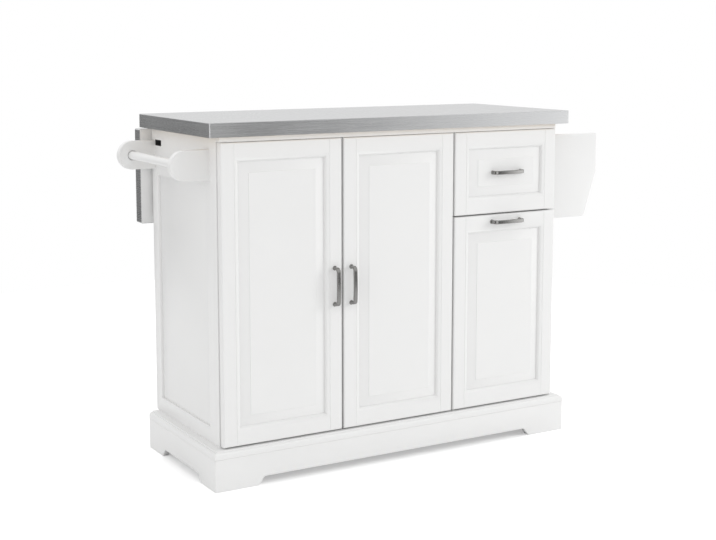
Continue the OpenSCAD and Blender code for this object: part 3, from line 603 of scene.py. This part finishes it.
# %% Handle
HANDLE_OUT = 25.0       # from the door to the bar's face, mm like the sizes below
BAR_WIDE, BAR_THICK = 10.4, 6.0
BAR_ROUND = 1.6         # radius of the bar's edges
FOOT_APART = 94.0
BEND, BEND_STEPS = 9.0, 8               # radius of a bend
BOW, BOW_STEPS = 1.2, 12                # how far the bar's middle stands out
COLLAR_R, COLLAR_TOP_R, COLLAR_DEEP = 6.2, 5.2, 2.2
COLLAR_ROUND = 0.5


def handle_mesh():
    """A handle along x with its feet on the plane y = 0, in millimetres."""
    bm = bmesh.new()
    half = FOOT_APART / 2
    section = bmesh.ops.create_grid(bm, x_segments=1, y_segments=1, size=0.5)["verts"]
    bmesh.ops.scale(bm, vec=(BAR_THICK, BAR_WIDE, 1), verts=section)
    bmesh.ops.bevel(bm, geom=section, offset=BAR_ROUND, offset_type="OFFSET", segments=4,
                    profile=0.5, affect="VERTICES", material=-1)
    bmesh.ops.rotate(bm, verts=bm.verts, cent=(0, 0, 0),
                     matrix=Matrix.Rotation(math.radians(90), 3, "X"))
    bmesh.ops.translate(bm, verts=bm.verts, vec=(-half, 0, 0))
    bm.faces.ensure_lookup_table()
    face = bm.faces[0]

    def pull(face, vec, keep=False):
        grown = bmesh.ops.extrude_face_region(bm, geom=[face])
        new = next(g for g in grown["geom"] if isinstance(g, bmesh.types.BMFace))
        bmesh.ops.translate(bm, verts=new.verts, vec=vec)
        if face.is_valid and not keep:
            bmesh.ops.delete(bm, geom=[face], context="FACES_ONLY")
        return new

    def bend_round(face, centre):
        for _ in range(BEND_STEPS):
            grown = bmesh.ops.extrude_face_region(bm, geom=[face])
            new = next(g for g in grown["geom"] if isinstance(g, bmesh.types.BMFace))
            bmesh.ops.rotate(bm, verts=new.verts, cent=centre,
                             matrix=Matrix.Rotation(math.radians(90 / BEND_STEPS), 3, "Z"))
            if face.is_valid:
                bmesh.ops.delete(bm, geom=[face], context="FACES_ONLY")
            face = new
        return face

    front = -HANDLE_OUT + BAR_THICK / 2 + BOW
    face = pull(face, (0, front + BEND, 0), keep=True)
    face = bend_round(face, (-half + BEND, front + BEND, 0))
    for i in range(BOW_STEPS):
        a, b = i / BOW_STEPS, (i + 1) / BOW_STEPS
        sag = BOW * 4 * (b * (1 - b) - a * (1 - a))
        face = pull(face, ((FOOT_APART - 2 * BEND) / BOW_STEPS, -sag, 0))
    face = bend_round(face, (half - BEND, front + BEND, 0))
    pull(face, (0, -(front + BEND), 0))
    for side in (-1, 1):
        collar = bmesh.ops.create_cone(
            bm, cap_ends=True, segments=28, radius1=COLLAR_R, radius2=COLLAR_TOP_R,
            depth=COLLAR_DEEP, matrix=Matrix.Translation((side * half, -COLLAR_DEEP / 2, 0))
            @ Matrix.Rotation(math.radians(90), 4, "X"))["verts"]
        rim = {e for v in collar for e in v.link_edges
               if all(w.co.y < 0.1 - COLLAR_DEEP for w in e.verts)}
        bevel_edges(bm, rim, COLLAR_ROUND, 2)
    return bm


def handle(node, body, upright):
    low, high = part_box(node)
    bm = handle_mesh()
    bmesh.ops.scale(bm, vec=(0.001, 0.001, 0.001), verts=bm.verts)
    if upright:
        bmesh.ops.rotate(bm, verts=bm.verts, cent=(0, 0, 0),
                         matrix=Matrix.Rotation(math.radians(90), 3, "Y"))
    middle = (low + high) / 2
    bmesh.ops.translate(bm, verts=bm.verts, vec=(middle.x, high.y, middle.z))
    made = piece(node + "_bow", bm, NICKEL, body, node, smooth=50)
    size = Vector(made.dimensions) * 1000
    print(made.name, [round(v, 1) for v in size], "mm")


handle("left_door_handle", "left_door", True)
handle("right_door_handle", "right_door", True)
handle("drawer_handle", "drawer", False)
handle("bin_handle", "bin", False)

# %% [markdown]
# ## Worktop and leaf skins
# The steel is a thin sheet folded over a board, so its folds are small round bends and its
# corners are a little softer than the folds. Each skin is a box with rounded edges, hollowed
# from the side where the board goes in. The brushing runs along the length on the broad faces
# and across on the ends, which therefore get a finish of their own.

# %% Skins
SHEET = 1.0             # thickness of the sheet, mm like the sizes below
FOLD = 1.6              # radius of a fold
CORNER = 3.8            # radius of an upright corner


def skin(node, body, mouth, sheet_face):
    """A folded sheet; mouth and sheet_face are the directions of its open and broad sides."""
    low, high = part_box(node)
    bm = bmesh.new()
    box_between(bm, low, high)
    along = [e for e in bm.edges
             if abs((e.verts[0].co - e.verts[1].co).normalized().dot(Vector(mouth))) > 0.99]
    bevel_edges(bm, along, CORNER / 1000, 5)
    bevel_edges(bm, face_towards(bm, *sheet_face).edges, FOLD / 1000, 4)
    opening = face_towards(bm, *mouth)
    deep = abs((high - low).dot(Vector(mouth))) * 1000 - SHEET
    step_in(bm, opening, [(SHEET, 0), (HAIR, -deep)])
    made = piece(node + "_folded", bm, STEEL, body, node)
    made.data.materials.append(STEEL_END)
    ends = [f for f in made.data.polygons if abs(f.normal.x) > 0.7]
    for face in ends:
        face.material_index = 1
    print(made.name, len(made.data.polygons), "faces,", len(ends), "on the ends")


skin("worktop_skin", "cabinet", (0, 0, -1), (0, 0, 1))
skin("leaf_skin", "leaf", (0, -1, 0), (0, 1, 0))

# %% [markdown]
# ## Towel rail
# Two boards with round outer ends carry a round wooden bar. The outline of each board is a
# circle whose inner half is pulled square to the wall. It is extruded to the board's thickness
# and its rim is rounded. The bar ends in a shallow round socket in the rear board.

# %% Towel brackets and bar
SOCKET_PLAY = 2.2       # room round the bar in its socket, mm
SOCKET_DEEP = 5.0       # mm
BOARD_RADIUS = 0.0012   # rounding of the boards, metres
BAR_RADIUS = 0.001      # rounding of the bar's ends, metres


def bracket(node, socket):
    """A board with a round outer end, standing in an x-z plane."""
    low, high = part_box(node)
    radius = (high.z - low.z) / 2
    middle = Vector((low.x + radius, low.y, low.z + radius))
    bm = bmesh.new()
    upright = Matrix.Rotation(math.radians(90), 4, "X")
    ring = bmesh.ops.create_circle(bm, segments=72, radius=radius,
                                   matrix=Matrix.Translation(middle) @ upright)["verts"]
    for vert in ring:
        if vert.co.x > middle.x + TOUCHING:
            vert.co = (high.x, low.y, high.z if vert.co.z > middle.z else low.z)
    bmesh.ops.remove_doubles(bm, verts=bm.verts, dist=TOUCHING)
    outline = bm.edges[:]
    grown = bmesh.ops.extrude_edge_only(bm, edges=outline)["geom"]
    bmesh.ops.translate(bm, verts=verts_of(grown), vec=(0, high.y - low.y, 0))
    fill_ring(bm, grown)
    if socket:
        bar_low, bar_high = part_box("towel_bar")
        hole_r = (bar_high.z - bar_low.z) / 2 + SOCKET_PLAY / 1000
        centre = Vector(((bar_low.x + bar_high.x) / 2, low.y, (bar_low.z + bar_high.z) / 2))
        hole = bmesh.ops.create_circle(bm, segments=40, radius=hole_r,
                                       matrix=Matrix.Translation(centre) @ upright)["verts"]
        rim = list({e for v in hole for e in v.link_edges})
        bmesh.ops.bridge_loops(bm, edges=outline + rim)
        sunk = bmesh.ops.extrude_edge_only(bm, edges=rim)["geom"]
        bmesh.ops.translate(bm, verts=verts_of(sunk), vec=(0, SOCKET_DEEP / 1000, 0))
        fill_ring(bm, sunk)
    else:
        bmesh.ops.contextual_create(bm, geom=outline)
    corners = [e for e in bm.edges if len(e.link_faces) == 2
               and e.calc_face_angle(0) > math.radians(60)
               and not all(abs(v.co.x - high.x) < TOUCHING for v in e.verts)]
    bevel_edges(bm, corners, BOARD_RADIUS)
    return piece(node + "_rounded", bm, WHITE_PAINT, "cabinet", node)


bracket("towel_bracket_front", False)
bracket("towel_bracket_rear", True)

low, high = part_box("towel_bar")
bm = bmesh.new()
bar_radius = (high.z - low.z) / 2
bmesh.ops.create_cone(bm, cap_ends=True, segments=48, radius1=bar_radius, radius2=bar_radius,
                      depth=high.y - low.y,
                      matrix=Matrix.Translation((low + high) / 2)
                      @ Matrix.Rotation(math.radians(90), 4, "X"))
bevel_edges(bm, [e for e in bm.edges if e.calc_face_angle(0) > 1], BAR_RADIUS)
piece("towel_bar_round", bm, WHITE_PAINT, "cabinet", "towel_bar")

# %% [markdown]
# ## Plinth cap
# The board on top of the plinth is also the floor of the cupboard. Its edge is moulded: a small
# fillet under the top, then a quarter round, and a fine dark joint where it meets the plinth.
# A low block is raised by stepped insets. The block starts too long at the back, where the cap
# is cut off square, so the moulding runs round the front and the sides only.

# %% Cap
ROUND = 7.5             # radius of the quarter round, mm
FILLET = 2.2            # height of the fillet, mm
TOP_EDGE = [(0.3, 0.55), (0.6, 0.25)]   # softened edge over the fillet, mm
LEDGE = (1.0, 0)        # level step between the quarter round and the fillet, mm
JOINT = 0.0012          # width of the dark joint under the cap, metres
EXTRA = Vector((0, 0.03, 0))            # how much longer the block starts, metres
low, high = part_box("floor_panel")
block_top = high.z - (ROUND + FILLET + sum(rise for _, rise in TOP_EDGE)) / 1000
bm = bmesh.new()
box_between(bm, low, Vector((high.x, high.y, block_top)) + EXTRA)
step_in(bm, face_towards(bm, 0, 0, 1),
        [(inwards, -fall) for inwards, fall in reversed(quarter_round(ROUND, ROUND, 6))]
        + [LEDGE, (0.05, FILLET), *TOP_EDGE])
bevel_edges(bm, face_towards(bm, 0, 0, -1).edges, JOINT, 2)
cut = bmesh.ops.bisect_plane(bm, geom=bm.verts[:] + bm.edges[:] + bm.faces[:], dist=1e-6,
                             plane_co=(0, high.y, 0), plane_no=(0, 1, 0), clear_outer=True)
bmesh.ops.contextual_create(bm, geom=[e for e in cut["geom_cut"]
                                      if isinstance(e, bmesh.types.BMEdge)])
cap = piece("plinth_cap_moulded", bm, WHITE_PAINT, "cabinet", "floor_panel")
print("cap", [round(v * 1000, 1) for v in cap.dimensions], "mm")

# %% [markdown]
# ## Cable slot
# A black rubber sleeve lines the slot high in the left side. Its black is painted shade: it
# darkens the slot's walls the way the shade inside the cupboard would. It is a box of the slot's
# size without its two ends, given a wall with the Solidify operator.

# %% Slot lining, black as painted shade
SLEEVE_WALL = 1.5       # mm
SLEEVE_CORNER = 0.0015  # radius of the sleeve's corners, metres
slot_low, slot_high = at(-512.4, 386.1, 830.1), at(-494, 427.9, 845.9)
bm = bmesh.new()
box_between(bm, slot_low, slot_high)
bevel_edges(bm, [e for e in bm.edges if abs(e.verts[0].co.x - e.verts[1].co.x) > 0.001],
            SLEEVE_CORNER)
ends = [f for f in bm.faces if abs(f.normal.x) > 0.99]
bmesh.ops.delete(bm, geom=ends, context="FACES_ONLY")
bmesh.ops.recalc_face_normals(bm, faces=bm.faces)
bmesh.ops.solidify(bm, geom=bm.faces[:], thickness=SLEEVE_WALL / 1000)
# The black rubber finish on this lining is painted shade inside the slot.
sleeve = piece("painted_shade_slot_lining", bm, RUBBER, "cabinet")
print("sleeve", [round(v * 1000, 1) for v in sleeve.dimensions], "mm")

# %% [markdown]
# ## Screws and small hardware
# Screws hold the door hinges' cups and wall plates, the strut brackets and the leaf's flaps. A
# screw head starts as a grid whose rim is pulled round and whose top is domed. The five squares
# in its middle make a cross, which is pushed in. Several heads that face the same way share one
# piece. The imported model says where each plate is, so the screws follow it.

# %% Screw heads
# DOME, SKIRT and CROSS_DEEP are shares of a head's radius. Lengths are in metres unless they
# say mm.
DOME, DOME_FALL = 0.42, 0.8             # height of a head, and how much of it the rim loses
SKIRT = 0.1             # height of the rim
CROSS_DEEP = 0.3        # depth of the cross
NEXT_TURN = 0.7         # each head is turned this much more than the last, radians
CUP_SCREW_OUT = 21      # from a cup's middle to each screw, mm
ARM_SCREW_OUT = 16      # from a wall plate's middle to each screw, mm
ARM_SCREW_IN = 0.016    # from a wall plate's rear edge
PLATE_THICK = 0.003     # thickness of a wall plate
BRACKET_PLATE = 0.002   # thickness of a strut bracket's plate
SCREW_FROM_EDGE = 0.006  # from the edge of a bracket or flap to a screw's middle
FLAP_SCREW_OUT = 0.018  # from a flap's middle to each screw
FLAP_THICK = 0.002      # thickness of a flap


def solids(node):
    """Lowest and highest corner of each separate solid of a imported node."""
    bm = bmesh.new()
    bm.from_mesh(frame["nodes"][node].data)
    bmesh.ops.remove_doubles(bm, verts=bm.verts, dist=2e-5)
    left, found = set(bm.verts), []
    while left:
        todo, reached = [left.pop()], []
        while todo:
            vert = todo.pop()
            reached.append(vert.co.copy())
            for edge in vert.link_edges:
                other = edge.other_vert(vert)
                if other in left:
                    left.remove(other)
                    todo.append(other)
        found.append((Vector([min(c[i] for c in reached) for i in range(3)]),
                      Vector([max(c[i] for c in reached) for i in range(3)])))
    bm.free()
    return sorted(found, key=lambda corners: tuple(corners[0]))


def screw_heads(name, body, spots, way, radius=3.3):
    """Crossed heads at the spots, facing one way; the radius is in mm."""
    facing = Vector(way).to_track_quat("Z", "Y").to_matrix().to_4x4()
    bm = bmesh.new()
    for index, spot in enumerate(spots):
        head = bmesh.ops.create_grid(bm, x_segments=5, y_segments=5, size=1)["verts"]
        squares = {f for v in head for f in v.link_faces}
        cross = [f for f in squares
                 if min(abs(f.calc_center_median()[i]) for i in (0, 1)) < 0.1
                 and f.calc_center_median().length < 0.5]
        for vert in head:
            reach = max(abs(vert.co.x), abs(vert.co.y))
            if reach > 0.99:
                vert.co.xy = vert.co.xy.normalized()
            vert.co.z = DOME * (1 - DOME_FALL * vert.co.xy.length_squared)
        edge_ring = [e for v in head for e in v.link_edges if len(e.link_faces) == 1]
        grown = bmesh.ops.extrude_edge_only(bm, edges=list(set(edge_ring)))["geom"]
        skirt = verts_of(grown)
        bmesh.ops.translate(bm, verts=skirt, vec=(0, 0, -SKIRT))
        fill_ring(bm, grown)
        sunk = verts_of(bmesh.ops.extrude_face_region(bm, geom=cross)["geom"])
        bmesh.ops.translate(bm, verts=sunk, vec=(0, 0, -CROSS_DEEP))
        bmesh.ops.delete(bm, geom=[f for f in cross if f.is_valid], context="FACES")
        place = (Matrix.Translation(spot) @ facing @ Matrix.Rotation(NEXT_TURN * index, 4, "Z")
                 @ Matrix.Scale(radius / 1000, 4))
        bmesh.ops.transform(bm, matrix=place, verts=head + skirt + sunk)
    return piece(name, bm, ZINC, body, smooth=50)


def rear_spots(boxes, rises):
    """Spots on the rear face of each box, at heights from its centre in mm."""
    spots = []
    for low, high in boxes:
        for rise in rises:
            spot = (low + high) / 2 + Vector((0, 0, rise)) / 1000
            spot.y = high.y
            spots.append(spot)
    return spots


for door in ("left_door", "right_door"):
    cups = solids(door + "_cups")
    screw_heads(door + "_cup_screws", door,
                rear_spots(cups, (-CUP_SCREW_OUT, CUP_SCREW_OUT)), (0, 1, 0), 3.0)
print("hinge cup", [round(v * 1000, 1) for v in cups[0][1] - cups[0][0]], "mm")

arms = solids("hinge_arms")
for name, wall_arms, way in (("left_arm_screws", arms[:2], 1),
                             ("right_arm_screws", arms[2:], -1)):
    spots = []
    for low, high in wall_arms:
        wall = low.x + PLATE_THICK if way > 0 else high.x - PLATE_THICK
        for rise in (-ARM_SCREW_OUT, ARM_SCREW_OUT):
            spots.append(Vector((wall, high.y - ARM_SCREW_IN,
                                 (low.z + high.z) / 2 + rise / 1000)))
    screw_heads(name, "cabinet", spots, (way, 0, 0))

for index, (low, high) in enumerate(solids("strut_brackets")):
    middle = (low + high) / 2
    spots = [Vector((middle.x, low.y + BRACKET_PLATE,
                     middle.z + side * (high.z - middle.z - SCREW_FROM_EDGE)))
             for side in (-1, 1)]
    screw_heads(f"strut_bracket_screws_{index + 1}", "cabinet", spots, (0, 1, 0), 3.0)

spots = []
for low, high in solids("leaf_hinge_flaps"):
    middle = (low + high) / 2
    spots += [Vector((middle.x + side * FLAP_SCREW_OUT, high.y - FLAP_THICK,
                      low.z + SCREW_FROM_EDGE)) for side in (-1, 1)]
screw_heads("leaf_flap_screws", "leaf", spots, (0, -1, 0), 2.8)
print("leaf hinge flap", [round(v * 1000, 1) for v in high - low], "mm")
